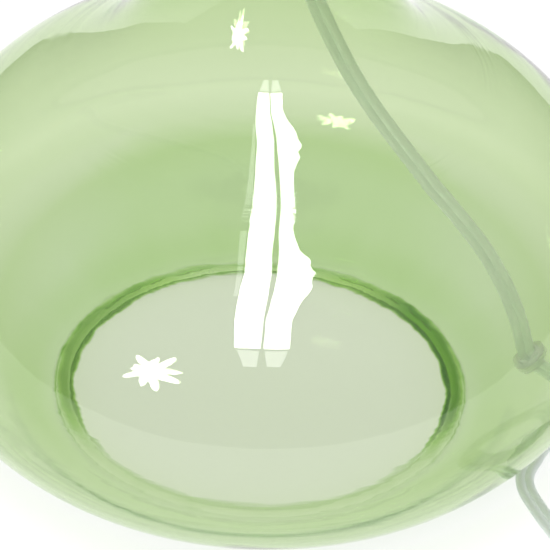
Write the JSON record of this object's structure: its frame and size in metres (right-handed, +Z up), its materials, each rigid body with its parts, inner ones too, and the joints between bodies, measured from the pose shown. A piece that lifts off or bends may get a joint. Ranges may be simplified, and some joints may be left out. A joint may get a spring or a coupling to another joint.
{
  "type": "glass table lamp base",
  "caption": "Squat blown-glass lamp base in pale green with a clear flex inside, a turn-knob bulb socket, a harp and its finial.",
  "frame": {"origin": "middle of the foot ring on the surface that the lamp stands on", "axes": "+Z up along the vessel's axis, +X towards the side where the flex leaves, -Y towards the switch knob"},
  "size_m": [0.3652, 0.3003, 0.499],
  "materials": {
    "green_glass": "clear, blown, gloss",
    "clear_plastic": "clear, soft gloss",
    "rubber": "matte",
    "nickel": "satin",
    "steel": "satin",
    "brass": "satin",
    "phenolic": "satin",
    "fibre": "matte",
    "copper": "satin",
    "white_strap": "matte"
  },
  "bodies": {
    "lamp_base": {"glass_body": "green_glass", "flex_grommet": "clear_plastic", "neck_stopper": "rubber", "neck_cap": "nickel", "threaded_nipple": "steel", "stopper_washer": "steel", "lock_nut": "steel", "spindle": "nickel", "harp_saddle": "nickel", "socket_cap": "nickel", "cap_set_screw": "steel", "socket_shell": "nickel", "insulating_sleeve": "fibre", "socket_body": "phenolic", "screw_shell": "brass", "terminal_screws": "brass", "lead_wires": "copper", "flex_inside": "clear_plastic", "flex_run": "clear_plastic", "flex_coil": "clear_plastic", "flex_tail": "clear_plastic", "coil_tie": "white_strap", "plug_body": "clear_plastic", "plug_blades": "brass"},
    "contact": {"centre_contact": "brass"},
    "switch": {"switch_shaft": "phenolic", "switch_knob": "phenolic"},
    "harp": {"harp_wire": "nickel", "harp_stud": "nickel"},
    "ferrule_left": {"ferrule_left": "nickel"},
    "ferrule_right": {"ferrule_right": "nickel"},
    "finial": {"finial": "nickel"}
  },
  "joints": [
    {"name": "switch_turn", "type": "hinge", "parent": "lamp_base", "child": "switch", "pos_m": [0, -0.03, 0.302], "axis": [0, -1, 0], "continuous": true},
    {"name": "contact_press", "type": "slide", "parent": "lamp_base", "child": "contact", "axis": [0, 0, -1], "range_m": [0, 0.0015], "stiffness_N_per_m": 1500, "springref_m": -0.0007},
    {"name": "harp_lift", "type": "slide", "parent": "lamp_base", "child": "harp", "axis": [0, 0, 1], "range_m": [0, 0.02]},
    {"name": "ferrule_left_lift", "type": "slide", "parent": "harp", "child": "ferrule_left", "axis": [0, 0, 1], "range_m": [0, 0.012]},
    {"name": "ferrule_right_lift", "type": "slide", "parent": "harp", "child": "ferrule_right", "axis": [0, 0, 1], "range_m": [0, 0.012]},
    {"name": "finial_turn", "type": "hinge", "parent": "harp", "child": "finial", "pos_m": [0, 0, 0.48], "axis": [0, 0, 1], "continuous": true}
  ]
}
